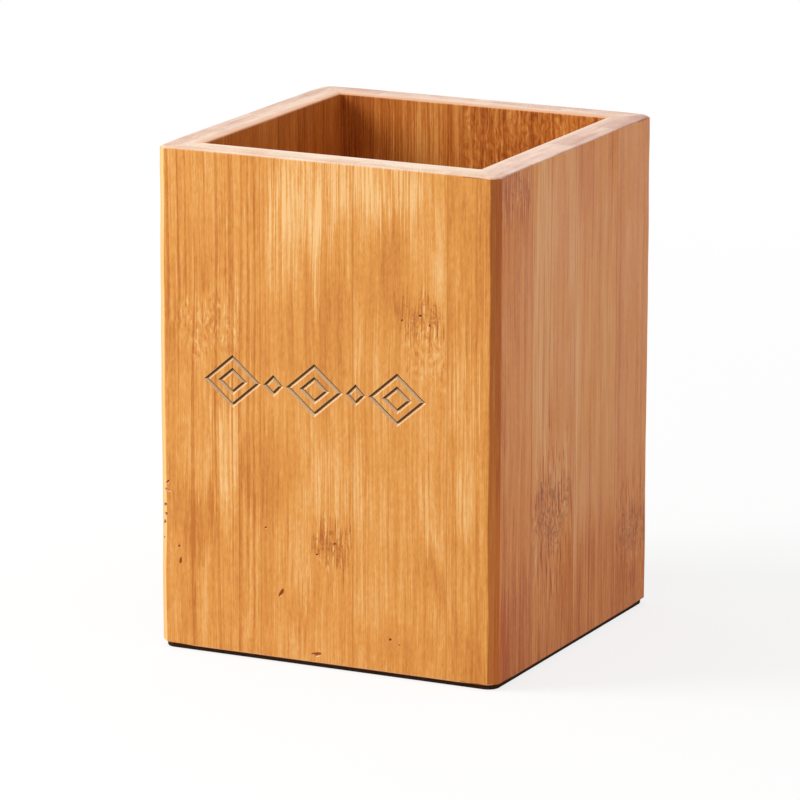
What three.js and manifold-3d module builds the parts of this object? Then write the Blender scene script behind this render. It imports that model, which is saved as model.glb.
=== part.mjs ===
// Square bamboo pen holder. Four mitred walls of glued upright slats stand round a slatted base
// board, on a thin foam foot pad, and a band of lozenges is engraved across the front.
// Millimetres, +Z up, front wall towards -Y. The origin is under the middle of the box, on the
// surface that the pad rests on.
import * as THREE from "three";
import { mergeVertices } from "three/addons/utils/BufferGeometryUtils.js";
import Module from "manifold-3d";

// Wooden box
const side = 80; // outer width, and outer depth
const woodHeight = 109;
const wallThickness = 7.7;
const baseThickness = 7.7;

// Boards of slats: seams repeat at the slat width, counted from the first seam of each board,
// which is measured along the outside of the wall from its left end, as seen from outside
const slatWidth = 21.9;
const frontFirstSeam = 24.7;
const rightFirstSeam = 17.3;
const backFirstSeam = 20.3;
const leftFirstSeam = 16.3;
const narrowestSlat = 3; // least width that a slat keeps on the inside of the box
const glueLine = 0.1; // what the glue fills between neighbouring pieces of wood

// Eased edges
const cornerCut = 1.8; // chamfer of the upright outer corners, along each wall
const outerEdgeRound = 0.4; // top and bottom outer edges
const rimEdgeRound = 0.4; // inner edge of the rim

// Foot pad
const padInset = 0.6; // how far its edges lie inside the walls
const padThickness = 1;
const padCornerRadius = 2.6;
const padShiftSideways = -0.1; // how far the pad is glued off centre, to the right
const padShiftBack = 0.3;

// Engraved band: large double lozenges with small ones between them
const bandLeftMargin = 11.7;
const bandRightMargin = 16.8;
const bandHeight = 59.7; // its middle, above the underside of the wood
const lozengeWidth = 12.2;
const lozengeHeight = 10.4;
const lozengeInset = 2.1; // from the outer outline of a large lozenge to its inner one
const smallLozenge = 3.6; // width and height of a small one
const lozengeGap = 1.8; // between neighbouring tips
const grooveWidth = 0.9;
const grooveDepth = 0.45;

// Fineness of the round stretches, and how far a cutter reaches past what it cuts
const cornerSegments = 6;
const edgeSegments = 3;
const squareSegments = 4; // of a lathe that turns a section into a square or a lozenge
const cutMargin = 1;

const halfSide = side / 2;
const innerHalf = halfSide - wallThickness;
const quarterTurn = Math.PI / 2;

const wasm = await Module();
wasm.setup();

// Finishes

const bamboo = (colour) => new THREE.MeshStandardMaterial({
  color: colour,
  roughness: 0.42,
  metalness: 0,
  flatShading: true,
});

const foam = () => new THREE.MeshStandardMaterial({
  color: 0x2d190a,
  roughness: 0.9,
  metalness: 0,
  flatShading: true,
});

// From a closed geometry to a solid, and back to a named mesh

function solidFrom(geometry) {
  const bare = geometry.clone();
  bare.deleteAttribute("normal");
  bare.deleteAttribute("uv");
  const merged = mergeVertices(bare);
  const corners = merged.index.array;
  const kept = [];
  for (let i = 0; i < corners.length; i += 3) {
    const [a, b, c] = corners.slice(i, i + 3);
    if (a !== b && b !== c && c !== a) kept.push(a, b, c);
  }
  return new wasm.Manifold(new wasm.Mesh({
    numProp: 3,
    vertProperties: merged.attributes.position.array,
    triVerts: new Uint32Array(kept),
  }));
}

function meshFrom(solid, name, material) {
  const { vertProperties, triVerts } = solid.getMesh();
  const geometry = new THREE.BufferGeometry();
  geometry.setAttribute("position", new THREE.BufferAttribute(vertProperties, 3));
  geometry.setIndex(new THREE.BufferAttribute(triVerts, 1));
  geometry.computeVertexNormals();
  const mesh = new THREE.Mesh(geometry, material);
  mesh.name = name;
  return mesh;
}

// Plan outlines

function chamferedSquare(width, cut) {
  const half = width / 2;
  const end = half - cut;
  return polygon([
    [end, -half], [half, -end], [half, end], [end, half],
    [-end, half], [-half, end], [-half, -end], [-end, -half],
  ]);
}

function roundedSquare(width, radius) {
  const half = width / 2;
  const centre = half - radius;
  const shape = new THREE.Shape();
  shape.moveTo(half, -centre);
  shape.absarc(centre, centre, radius, 0, quarterTurn);
  shape.absarc(-centre, centre, radius, quarterTurn, 2 * quarterTurn);
  shape.absarc(-centre, -centre, radius, 2 * quarterTurn, 3 * quarterTurn);
  shape.absarc(centre, -centre, radius, 3 * quarterTurn, 4 * quarterTurn);
  return shape;
}

function polygon(points) {
  return new THREE.Shape(points.map(([x, y]) => new THREE.Vector2(x, y)));
}

// The block that the box is shaped from, with its upright corners chamfered and its top and
// bottom edges rounded. Its underside is at height 0. The rounding moves the outline out on every
// side, so the outline starts that much smaller.
function outerBlock() {
  const startCut = cornerCut - (2 - Math.SQRT2) * outerEdgeRound;
  const outline = chamferedSquare(side - 2 * outerEdgeRound, startCut);
  const block = new THREE.ExtrudeGeometry(outline, {
    depth: woodHeight - 2 * outerEdgeRound,
    bevelEnabled: true,
    bevelThickness: outerEdgeRound,
    bevelSize: outerEdgeRound,
    bevelSegments: edgeSegments,
  });
  return solidFrom(block.translate(0, 0, outerEdgeRound));
}

// The space inside the walls, right through from top to bottom, flared where the rim's inner edge
// is eased. Its section is turned into a square, so it is drawn out to the corners.
function innerSpace() {
  const toCorner = Math.SQRT2;
  const section = [
    [0, -cutMargin],
    [innerHalf, -cutMargin],
    [innerHalf, woodHeight - rimEdgeRound],
  ];
  for (let i = 1; i <= edgeSegments; i++) {
    const turn = (quarterTurn * i) / edgeSegments;
    section.push([
      innerHalf + rimEdgeRound * (1 - Math.cos(turn)),
      woodHeight - rimEdgeRound * (1 - Math.sin(turn)),
    ]);
  }
  section.push([innerHalf + rimEdgeRound, woodHeight + cutMargin], [0, woodHeight + cutMargin]);
  const points = section.map(([out, up]) => new THREE.Vector2(out * toCorner, up));
  const space = new THREE.LatheGeometry(points, squareSegments, quarterTurn / 2);
  return solidFrom(space.rotateX(quarterTurn));
}

// Seams of a wall, as distances from its left end. One that would leave too narrow a slat beside
// the mitre is left out.
function seamsOf(firstSeam) {
  const least = wallThickness + narrowestSlat;
  const seams = [];
  let seam = firstSeam + slatWidth * Math.ceil((least - firstSeam) / slatWidth);
  while (seam <= side - least) {
    seams.push(seam);
    seam += slatWidth;
  }
  return seams;
}

// The part of the front wall between two seams, as an upright prism. At a corner of the box the
// slat ends in the mitre instead of a seam.
function slatSpace(leftSeam, rightSeam) {
  const mitreGap = glueLine * Math.SQRT1_2;
  const leftAt = (y) => (leftSeam === null ? y + mitreGap : leftSeam - halfSide + glueLine / 2);
  const rightAt = (y) => (rightSeam === null ? -y - mitreGap : rightSeam - halfSide - glueLine / 2);
  const outside = -halfSide - cutMargin;
  const inside = -innerHalf + cutMargin;
  const outline = polygon([
    [leftAt(outside), outside],
    [rightAt(outside), outside],
    [rightAt(inside), inside],
    [leftAt(inside), inside],
  ]);
  const prism = new THREE.ExtrudeGeometry(outline, {
    depth: woodHeight + 2 * cutMargin,
    bevelEnabled: false,
  });
  return solidFrom(prism.translate(0, 0, -cutMargin));
}

// A V-shaped groove along the outline of a lozenge that lies in the front face. Its section is
// turned round the middle of the lozenge, with the outline at radius 1.
function lozengeGroove(x, z, width, height) {
  const radiusPerMillimetre = Math.hypot(2 / width, 2 / height);
  const above = cutMargin / 2;
  const halfWidthAbove = (grooveWidth / 2) * (1 + above / grooveDepth) * radiusPerMillimetre;
  const section = [
    new THREE.Vector2(1, -grooveDepth),
    new THREE.Vector2(1 + halfWidthAbove, above),
    new THREE.Vector2(Math.max(1 - halfWidthAbove, 0), above),
    new THREE.Vector2(1, -grooveDepth),
  ];
  const groove = new THREE.LatheGeometry(section, squareSegments);
  groove.scale(width / 2, 1, height / 2);
  groove.rotateX(2 * quarterTurn);
  return solidFrom(groove.translate(x, -halfSide, z));
}

// Every groove of the band, centred between its margins
function bandGrooves() {
  const pitch = lozengeWidth + smallLozenge + 2 * lozengeGap;
  const room = side - bandLeftMargin - bandRightMargin;
  const count = Math.max(1, Math.floor((room - lozengeWidth) / pitch) + 1);
  const middle = (bandLeftMargin - bandRightMargin) / 2;
  const inradius = (lozengeWidth * lozengeHeight) / 2 / Math.hypot(lozengeWidth, lozengeHeight);
  const innerShare = 1 - lozengeInset / inradius;
  const grooves = [];
  for (let i = 0; i < count; i++) {
    const x = middle + (i - (count - 1) / 2) * pitch;
    grooves.push(lozengeGroove(x, bandHeight, lozengeWidth, lozengeHeight));
    grooves.push(
      lozengeGroove(x, bandHeight, lozengeWidth * innerShare, lozengeHeight * innerShare),
    );
    if (i < count - 1) {
      grooves.push(lozengeGroove(x + pitch / 2, bandHeight, smallLozenge, smallLozenge));
    }
  }
  return grooves;
}

// Pieces

function wall(name, quarterTurns, firstSeam, colours, grooves = []) {
  const group = new THREE.Group();
  const walls = outerBlock().subtract(innerSpace());
  const ends = [null, ...seamsOf(firstSeam), null];
  for (let i = 1; i < ends.length; i++) {
    let slat = walls.intersect(slatSpace(ends[i - 1], ends[i]));
    for (const groove of grooves) slat = slat.subtract(groove);
    const colour = colours[(i - 1) % colours.length];
    group.add(meshFrom(slat, `${name}_slat_${i}`, bamboo(colour)));
  }
  group.rotation.z = quarterTurns * quarterTurn;
  return group;
}

function baseBoard(colours) {
  const group = new THREE.Group();
  const width = 2 * (innerHalf - glueLine);
  const count = Math.max(1, Math.round(width / slatWidth));
  const pitch = (width + glueLine) / count;
  for (let i = 0; i < count; i++) {
    const slat = new THREE.BoxGeometry(pitch - glueLine, width, baseThickness);
    const mesh = new THREE.Mesh(slat, bamboo(colours[i % colours.length]));
    mesh.name = `base_board_slat_${i + 1}`;
    mesh.position.set((i - (count - 1) / 2) * pitch, 0, baseThickness / 2);
    group.add(mesh);
  }
  return group;
}

function footPad() {
  const sheet = new THREE.ExtrudeGeometry(roundedSquare(side - 2 * padInset, padCornerRadius), {
    depth: padThickness,
    curveSegments: cornerSegments,
    bevelEnabled: false,
  });
  const mesh = meshFrom(solidFrom(sheet), "foot_pad", foam());
  mesh.position.set(padShiftSideways, padShiftBack, 0);
  return mesh;
}

const holder = new THREE.Group();
const wood = new THREE.Group();
wood.position.z = padThickness;
wood.add(
  wall("front_wall", 0, frontFirstSeam, [0xe3a050, 0xeaa857, 0xe6a253, 0xd88f45], bandGrooves()),
  wall("right_wall", 1, rightFirstSeam, [0xb8794f, 0xc58a5b, 0xbd8257, 0xb27650]),
  wall("back_wall", 2, backFirstSeam, [0xd3914b, 0xc07b38, 0xd8954d, 0xcf8b45]),
  wall("left_wall", 3, leftFirstSeam, [0xdb9a50, 0xd4924a, 0xdf9f55, 0xd08c46]),
  baseBoard([0xd09049, 0xc98740, 0xd6964d]),
);
holder.add(wood, footPad());

export default holder;
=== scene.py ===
"""Square bamboo pen holder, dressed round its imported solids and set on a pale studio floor.

Sizes are in millimetres until a mesh is made. The front wall faces -Y, and +Z is up.
"""

import logging
import math
from collections.abc import Iterable, Mapping, Sequence
from dataclasses import dataclass
from enum import Enum
from typing import Union

import bmesh
import bpy
from mathutils import Matrix, Vector, noise


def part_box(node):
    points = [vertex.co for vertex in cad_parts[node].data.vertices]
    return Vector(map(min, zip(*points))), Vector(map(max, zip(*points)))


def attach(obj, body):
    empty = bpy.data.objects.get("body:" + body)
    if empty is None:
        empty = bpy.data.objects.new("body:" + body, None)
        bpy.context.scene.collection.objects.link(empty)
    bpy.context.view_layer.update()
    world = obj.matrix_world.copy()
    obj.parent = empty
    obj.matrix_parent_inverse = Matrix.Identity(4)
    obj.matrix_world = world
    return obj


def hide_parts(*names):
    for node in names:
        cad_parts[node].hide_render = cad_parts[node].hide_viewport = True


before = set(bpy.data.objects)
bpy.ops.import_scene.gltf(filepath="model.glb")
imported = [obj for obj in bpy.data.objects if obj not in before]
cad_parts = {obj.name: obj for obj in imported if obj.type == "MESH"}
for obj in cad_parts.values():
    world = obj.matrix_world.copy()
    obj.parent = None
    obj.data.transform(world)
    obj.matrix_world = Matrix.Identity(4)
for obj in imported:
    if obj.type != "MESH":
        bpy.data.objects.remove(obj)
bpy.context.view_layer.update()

MM = 0.001
LOG = logging.getLogger("pen_holder")

Point = tuple[float, float, float]
Span = tuple[float, float]
Colour = tuple[float, float, float, float]
Number = Union["Field", float]

WHITE: Colour = (1.0, 1.0, 1.0, 1.0)
# The middle of noise, and of the bamboo's tone, on a scale of 0 to 1.
MIDDLE = 0.5


def srgb(red: int, green: int, blue: int) -> Colour:
    """Turns a colour as a screen shows it into the linear values that a shader takes.

    Args:
        red: Red, from 0 to 255.
        green: Green, from 0 to 255.
        blue: Blue, from 0 to 255.

    Returns:
        The linear colour, with an alpha of 1.
    """
    knee, slope, lift, power = 0.04045, 12.92, 0.055, 2.4
    linear = []
    for byte in (red, green, blue):
        share = byte / 255
        low = share <= knee
        linear.append(share / slope if low else ((share + lift) / (1 + lift)) ** power)
    return (linear[0], linear[1], linear[2], 1.0)


# Shader graphs


@dataclass(frozen=True)
class Pattern:
    """A noise pattern: its waves per millimetre along each axis, and how rough it is.

    The seed tells it from the other patterns of the same piece.
    """

    waves: Point
    seed: float = 0.0
    octaves: float = 1.0
    rough: float = 0.5


@dataclass(frozen=True)
class Skin:
    """How a surface takes the light: its relief's strength and depth, and its refractive index."""

    strength: float
    depth: float
    index: float


class Field:
    """A shader socket that takes part in Python arithmetic by adding Math nodes."""

    def __init__(self, graph: "Graph", socket: bpy.types.NodeSocket) -> None:
        """Keeps the socket and the graph it belongs to."""
        self.graph = graph
        self.socket = socket

    def output(self, name: int | str) -> "Field":
        """Gives another output of the same node."""
        return Field(self.graph, self.socket.node.outputs[name])

    def _math(self, operation: str, first: Number, second: Number) -> "Field":
        """Adds a Math node on two operands."""
        return self.graph.node("ShaderNodeMath", {"operation": operation}, {0: first, 1: second})

    def __add__(self, other: Number) -> "Field":
        """Adds a value."""
        return self._math("ADD", self, other)

    __radd__ = __add__

    def __sub__(self, other: Number) -> "Field":
        """Takes a value away."""
        return self._math("SUBTRACT", self, other)

    def __rsub__(self, other: Number) -> "Field":
        """Takes this field away from a value."""
        return self._math("SUBTRACT", other, self)

    def __mul__(self, other: Number) -> "Field":
        """Multiplies by a value."""
        return self._math("MULTIPLY", self, other)

    __rmul__ = __mul__

    def __neg__(self) -> "Field":
        """Changes the sign."""
        return self._math("MULTIPLY", self, -1.0)

    def __abs__(self) -> "Field":
        """Drops the sign."""
        return self._math("ABSOLUTE", self, 0.0)


class Graph:
    """The nodes of one material or of the world."""

    SEED_STEP = (7.31, 3.77, 5.13)
    SEED_START = (0.0, 11.0, 23.0)

    def __init__(self, tree: bpy.types.NodeTree) -> None:
        """Empties the tree, ready for new nodes."""
        self.tree = tree
        tree.nodes.clear()

    def node(
        self,
        kind: str,
        settings: Mapping[str, object] | None = None,
        inputs: Mapping[int | str, object] | None = None,
        output: int | str = 0,
    ) -> Field:
        """Adds a node of any type.

        Args:
            kind: The node's type.
            settings: Its properties, set first. "stops" gives a ramp's positions and colours.
            inputs: Values or fields for its sockets, by name or number.
            output: The socket that the answer stands for.

        Returns:
            The node's output as a field.
        """
        made = self.tree.nodes.new(kind)
        for name, value in (settings or {}).items():
            if name == "stops":
                self._set_stops(made.color_ramp, value)
            else:
                setattr(made, name, value)
        for name, value in (inputs or {}).items():
            if isinstance(value, Field):
                self.tree.links.new(value.socket, made.inputs[name])
            else:
                made.inputs[name].default_value = value
        socket = made.outputs[output] if made.outputs else made.inputs[0]
        return Field(self, socket)

    @staticmethod
    def _set_stops(ramp: bpy.types.ColorRamp, stops: Sequence[tuple[float, Colour]]) -> None:
        """Gives a ramp its stops.

        Args:
            ramp: The ramp.
            stops: Each stop's position and colour.
        """
        while len(ramp.elements) < len(stops):
            ramp.elements.new(1.0)
        for element, (position, colour) in zip(ramp.elements, stops):
            element.position = position
            element.color = colour

    def vector(self, x: Number, y: Number, z: Number) -> Field:
        """Joins three values into a vector."""
        return self.node("ShaderNodeCombineXYZ", None, {0: x, 1: y, 2: z})

    def vector_math(self, operation: str, *operands: object) -> Field:
        """Adds a Vector Math node on its operands, and gives its vector."""
        settings = {"operation": operation}
        return self.node("ShaderNodeVectorMath", settings, dict(enumerate(operands)))

    def length(self, vector: Field) -> Field:
        """Measures a vector."""
        return self.node("ShaderNodeVectorMath", {"operation": "LENGTH"}, {0: vector}, "Value")

    def axes(self, vector: Field) -> tuple[Field, Field, Field]:
        """Splits a vector into its three values."""
        split = self.node("ShaderNodeSeparateXYZ", None, {0: vector})
        return (split.output(0), split.output(1), split.output(2))

    def place(self) -> Field:
        """Gives the point's place on the object, in millimetres."""
        inputs = {0: self.node("ShaderNodeTexCoord", output="Object"), "Scale": 1 / MM}
        return self.node("ShaderNodeVectorMath", {"operation": "SCALE"}, inputs)

    def smooth(self, value: Number, step: Span, ends: Span = (0.0, 1.0)) -> Field:
        """Maps a value to a soft step.

        Args:
            value: What is mapped.
            step: Where the step starts and ends. The start may be the higher of the two.
            ends: The result up to the start, and from the end on.

        Returns:
            The stepped field.
        """
        settings = {"interpolation_type": "SMOOTHSTEP", "clamp": True}
        if step[0] > step[1]:
            step, ends = step[::-1], ends[::-1]
        limits = {0: value, 1: step[0], 2: step[1], 3: ends[0], 4: ends[1]}
        return self.node("ShaderNodeMapRange", settings, limits)

    def mix(self, factor: Number, first: object, second: object) -> Field:
        """Mixes two colours.

        Args:
            factor: The share of the second.
            first: A colour or a field.
            second: A colour or a field.

        Returns:
            The mixed colour.
        """
        settings = {"data_type": "RGBA", "blend_type": "MIX", "clamp_factor": True}
        return self.node("ShaderNodeMix", settings, {0: factor, 6: first, 7: second}, 2)

    def noise(self, point: Field, pattern: Pattern, seed: float = 0.0) -> Field:
        """Samples a noise pattern, counted from its middle.

        Args:
            point: Where it is sampled, in millimetres.
            pattern: The pattern.
            seed: Shifts the pattern, on top of its own start.

        Returns:
            Noise between about -0.5 and 0.5.
        """
        seed = seed + pattern.seed
        shift = tuple(seed * step + start for step, start in zip(self.SEED_STEP, self.SEED_START))
        where = self.vector_math("MULTIPLY_ADD", point, pattern.waves, shift)
        inputs = {"Vector": where, "Scale": 1.0, "Detail": pattern.octaves, "Roughness": pattern.rough}
        sample = self.node("ShaderNodeTexNoise", {"noise_dimensions": "3D"}, inputs)
        return sample - MIDDLE

    def surface(self, colour: Field, rough: Field, relief: Field, skin: Skin) -> None:
        """Joins a Principled shader with a relief to the material's output.

        Args:
            colour: The base colour.
            rough: The roughness.
            relief: The height of the relief.
            skin: How the surface takes the light.
        """
        bumps = {"Strength": skin.strength, "Distance": skin.depth * MM, "Height": relief}
        bump = self.node("ShaderNodeBump", None, bumps)
        look = {"Base Color": colour, "Roughness": rough, "Normal": bump, "IOR": skin.index}
        self.finish(self.node("ShaderNodeBsdfPrincipled", None, look))

    def finish(self, shader: Field, output: str = "ShaderNodeOutputMaterial") -> None:
        """Joins the last shader to the tree's output."""
        self.node(output, None, {"Surface": shader})


def new_material(name: str) -> tuple[bpy.types.Material, Graph]:
    """Makes a material with an empty graph.

    Args:
        name: The material's name.

    Returns:
        The material and its graph.
    """
    made = bpy.data.materials.new(name)
    made.use_nodes = True
    return made, Graph(made.node_tree)


class Side(Enum):
    """The walls, each numbered by the quarter turns that carry the front wall to it."""

    FRONT = 0
    RIGHT = 1
    BACK = 2
    LEFT = 3

    def slat_node(self, number: int) -> str:
        """Gives the name of the solid of one of the wall's slats."""
        return f"{self.name.lower()}_wall_slat_{number}"

    def turned(self, x: float, y: float) -> Span:
        """Gives the place on this wall of a point of the front wall."""
        return ((x, y), (-y, x), (-x, -y), (y, -x))[self.value]

    def unturned(self, x: Number, y: Number) -> tuple[Number, Number]:
        """Gives the place on the front wall of a point of this wall.

        Args:
            x: The point's place along X.
            y: The point's place along Y.

        Returns:
            Its places along X and Y once the wall is turned back to the front.
        """
        if self is Side.FRONT:
            return (x, y)
        if self is Side.RIGHT:
            return (y, -x)
        if self is Side.BACK:
            return (-x, -y)
        return (-y, x)


class Lie(Enum):
    """How a piece of bamboo lies, which says where its fibres run."""

    UPRIGHT = "fibres run up the wall"
    FLAT = "fibres run from front to back along the base board"


# The bamboo's grain


@dataclass(frozen=True)
class Oval:
    """An oval zone of a wall, ragged along the fibres.

    Its middle is given from the wall's left end, seen from outside, and below the rim. Wide and
    tall are half its width and half its height.
    """

    across: float
    below: float
    wide: float
    tall: float


@dataclass(frozen=True)
class Patch(Oval):
    """A zone that is lighter, or darker where its tone is below 0."""

    tone: float


@dataclass(frozen=True)
class CaneNode(Oval):
    """A band where the cane had a joint: its fibres curl into short dark dashes, or ripple.

    The dashes fan out above and below it, over a zone that is wider and taller by the given shares.
    """

    depth: float = 0.3
    ripples: float = 0.0
    fan_tall: float = 2.6
    fan_wide: float = 1.1


@dataclass(frozen=True)
class Spot:
    """Where a point of a slat lies, in millimetres, and which way its surface faces.

    From_end is its distance from the nearer end of the wall, under_chamfer how far it lies below
    the chamfer there, and from_band how far it is above or below the engraved band's middle.
    """

    graph: Graph
    across: Field
    deep: Field
    below: Field
    facing: tuple[Field, Field, Field]
    from_end: Field
    under_chamfer: Field
    from_band: Field

    @classmethod
    def on(cls, graph: Graph, shape: "WallShape", side: Side, lie: Lie) -> "Spot":
        """Works out the place from the object's own coordinates.

        Args:
            graph: The material's graph.
            shape: Sizes of the walls.
            side: The wall that the slat belongs to.
            lie: Which way its fibres run.

        Returns:
            The place, across the fibres, into the board and down from the rim.
        """
        x, y, z = graph.axes(graph.place())
        if lie is Lie.UPRIGHT:
            along_wall, outward = side.unturned(x, y)
            across, deep, along = along_wall + shape.half, outward + shape.half, z
        else:
            across, deep, along = x + shape.half, z, y
        below = shape.top - along
        facing = graph.axes(graph.node("ShaderNodeNewGeometry", output="Normal"))
        from_end = shape.half - abs(across - shape.half)
        under_chamfer = (from_end + deep - shape.corner_cut) * math.sqrt(0.5)
        from_band = abs(below - (shape.top - LozengeBand.height))
        return cls(graph, across, deep, below, facing, from_end, under_chamfer, from_band)


class BambooGrain:
    """The fibre pattern of one slat, as fields that its colour, gloss and relief share.

    A reach is in millimetres: how far the fibres sway and bend, and how ragged the ends of a zone
    are. A step says where a noise turns into a strand, a cord, a dash or the edge of an oval.
    """

    SWAY = Pattern((0.03, 0.03, 0.02), 0.7)
    FINE = Pattern((2.4, 2.4, 0.026), octaves=2.0, rough=0.6)
    HAIR = Pattern((5.2, 5.2, 0.07), 1.3)
    BROAD = Pattern((0.42, 0.42, 0.018), 2.1, octaves=2.0)
    FLECK = Pattern((4.2, 4.2, 0.8), 2.8)
    DASH = Pattern((1.9, 1.9, 0.14), 3.9)
    CORD = Pattern((0.8, 0.8, 0.006), 3.3)
    JITTER = Pattern((2.3, 2.3, 0.01), 4.4, octaves=2.0, rough=0.6)
    LAG = Pattern((0.35, 0.35, 0.01), 4.9)
    FLAME = Pattern((0.12, 0.1, 0.055), 5.2, octaves=2.0)
    RUBBED = Pattern((0.05, 0.05, 0.04), 8.8, octaves=3.0)
    BENT = Pattern((0.55, 0.55, 0.3), 6.6)
    CURL = Pattern((1.3, 1.3, 0.5), 7.9)
    RIPPLE = Pattern((2.0, 2.0, 0.55), 9.7)

    SWAY_REACH = 2.0
    JITTER_REACH = 26.0
    LAG_REACH = 14.0
    FRAY_REACH = 1.2
    BEND_REACH = 3.0

    STRAND_STEP = (-0.09, 0.09)
    CORD_STEP = (0.09, 0.16)
    DARK_DASH_STEP = (0.08, 0.18)
    LIGHT_DASH_STEP = (-0.1, -0.2)
    OVAL_STEP = (1.12, 0.62)

    def __init__(self, spot: Spot, seed: float) -> None:
        """Builds the fields.

        Args:
            spot: Where the point lies.
            seed: Tells one slat from another.
        """
        self.spot = spot
        self.graph = graph = spot.graph
        still = graph.vector(spot.across, spot.deep, spot.below)
        sway = graph.noise(still, self.SWAY, seed)
        self.point = graph.vector(spot.across + sway * self.SWAY_REACH, spot.deep, spot.below)
        self.fine, self.hair, self.broad, self.fleck, dash, cord, jitter, lag = (
            graph.noise(self.point, pattern, seed)
            for pattern in (
                self.FINE, self.HAIR, self.BROAD, self.FLECK, self.DASH, self.CORD, self.JITTER, self.LAG
            )
        )
        self.strand = graph.smooth(self.fine, self.STRAND_STEP) - MIDDLE
        self.cord = graph.smooth(cord, self.CORD_STEP)
        self.dark_dash = graph.smooth(dash, self.DARK_DASH_STEP)
        self.light_dash = graph.smooth(dash, self.LIGHT_DASH_STEP)
        uneven = spot.below + jitter * self.JITTER_REACH + lag * self.LAG_REACH
        self.ragged = graph.vector(spot.across + self.fine * self.FRAY_REACH, 0.0, uneven)
        self.flame = graph.noise(self.ragged, self.FLAME, seed)
        self.rubbed = graph.noise(still, self.RUBBED, seed)
        bent = graph.noise(still, self.BENT, seed)
        curled = graph.vector(spot.across + bent * self.BEND_REACH, spot.deep, spot.below)
        self.curl = graph.noise(curled, self.CURL, seed)
        self.ripple = graph.noise(curled, self.RIPPLE, seed)

    def zone(self, oval: Oval, wider: float = 1.0, taller: float = 1.0) -> Field:
        """Gives an oval a soft edge, ragged along the fibres.

        Args:
            oval: The oval.
            wider: Widens it by this share.
            taller: Makes it taller by this share.

        Returns:
            1 well inside the oval and 0 outside.
        """
        graph = self.graph
        offset = graph.vector_math("SUBTRACT", self.ragged, (oval.across, 0.0, oval.below))
        shares = (1 / (oval.wide * wider), 0.0, 1 / (oval.tall * taller))
        distance = graph.length(graph.vector_math("MULTIPLY", offset, shares))
        return graph.smooth(distance, self.OVAL_STEP)


# Finishes


@dataclass(frozen=True)
class Palette:
    """The colours of one board's bamboo under its lacquer, with the painted light and shade of its foot
    edge.
    """

    deep: Colour
    body: Colour
    pale: Colour
    knot: Colour
    foot_light_and_shade: Colour
    end_light: Colour
    end_dark: Colour
    end_inner: Colour

    def stops(self) -> list[tuple[float, Colour]]:
        """Gives the tone's ramp, from the deep colour at 0 to the pale one at 1."""
        return [(0.0, self.deep), (MIDDLE, self.body), (1.0, self.pale)]


@dataclass(frozen=True)
class PaintedCornerLight:
    """Painted light on a chamfered corner of the front wall: painted shade on its right corner, turned
    from the key lamp, and a painted highlight on its left one, which faces the lamp.

    It runs from top to foot over the given heights below the rim. Towards_right is 1 at the front
    wall's right corner and -1 at its left one, and turns is how squarely the surface faces that
    corner. Hair and strand are the grain's shares in the streaks that break the tint up.
    """

    top: Colour
    foot: Colour
    towards_right: float
    turns: Span = (1.1, 1.36)
    share: float = 0.75
    heights: Span = (20.0, 90.0)
    hair: float = 0.5
    strand: float = 0.12
    streak: float = 0.3
    streak_share: float = 0.5

    def lay(self, colour: Field, grain: BambooGrain, palette: Palette) -> Field:
        """Lays the painted light and shade over the face's colour.

        Args:
            colour: The face's colour.
            grain: The slat's fibre pattern.
            palette: The slat's colours.

        Returns:
            The colour with the tinted corner.
        """
        graph, spot = grain.graph, grain.spot
        right, back, _ = spot.facing
        mask = graph.smooth(right * self.towards_right - back, self.turns) * self.share
        tint = graph.mix(graph.smooth(spot.below, self.heights), self.top, self.foot)
        streak = grain.broad + grain.hair * self.hair + grain.strand * self.strand
        for edge, other in ((self.streak, palette.body), (-self.streak, palette.knot)):
            tint = graph.mix(graph.smooth(streak, (0.0, edge)) * self.streak_share, tint, other)
        return graph.mix(mask, colour, tint)


@dataclass(frozen=True)
class EndGrain:
    """The sawn end in the rim, where the fibre bundles show as dots and the mitre as a line.

    The end starts where the surface faces up by the first of turns, and is full at the second. The
    spans of outer and inner are depths from the wall's face.
    """

    dots: Pattern = Pattern((2.3, 2.3, 0.2), 3.0)
    layers: Pattern = Pattern((0.07, 0.7, 0.01), 5.0)
    clouds: Pattern = Pattern((0.14, 0.2, 0.01), 6.0)
    turns: Span = (0.2, 0.85)
    outer: Span = (6.5, 1.0)
    inner: Span = (5.0, 7.4)
    layer_share: float = 1.1
    cloud_share: float = 0.7
    tone_share: float = 0.4
    outer_share: float = 0.22
    dot_step: Span = (0.0, 0.2)
    dot_share: float = 0.08
    outer_dot_share: float = 0.2
    inner_share: float = 0.65
    mitre_line: Span = (0.22, 0.04)
    mitre_share: float = 0.4

    def colour(self, grain: BambooGrain, tone: Field, finish: "SlatFinish") -> Field:
        """Colours the sawn end.

        Args:
            grain: The slat's fibre pattern.
            tone: How light the bamboo is.
            finish: The slat's finish.

        Returns:
            The colour, lighter towards the inside of the box.
        """
        graph, spot, palette = grain.graph, grain.spot, finish.palette
        outside = graph.smooth(spot.deep, self.outer)
        dots, layers, clouds = (
            graph.noise(grain.point, pattern, finish.seed)
            for pattern in (self.dots, self.layers, self.clouds)
        )
        shade = finish.end_shade + layers * self.layer_share + clouds * self.cloud_share
        shade = shade - (tone - MIDDLE) * self.tone_share + outside * self.outer_share
        dotted = self.dot_share + outside * self.outer_dot_share
        shade = shade + graph.smooth(dots, self.dot_step) * dotted
        colour = graph.mix(shade, palette.end_light, palette.end_dark)
        inside = graph.smooth(spot.deep, self.inner) * self.inner_share
        return graph.mix(inside, colour, palette.end_inner)

    def mitre(self, spot: Spot, end: Field) -> Field:
        """Gives the share of the dark line along the mitre, where the surface is a sawn end."""
        from_mitre = abs(spot.from_end - spot.deep)
        return spot.graph.smooth(from_mitre, self.mitre_line) * end * self.mitre_share


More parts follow.
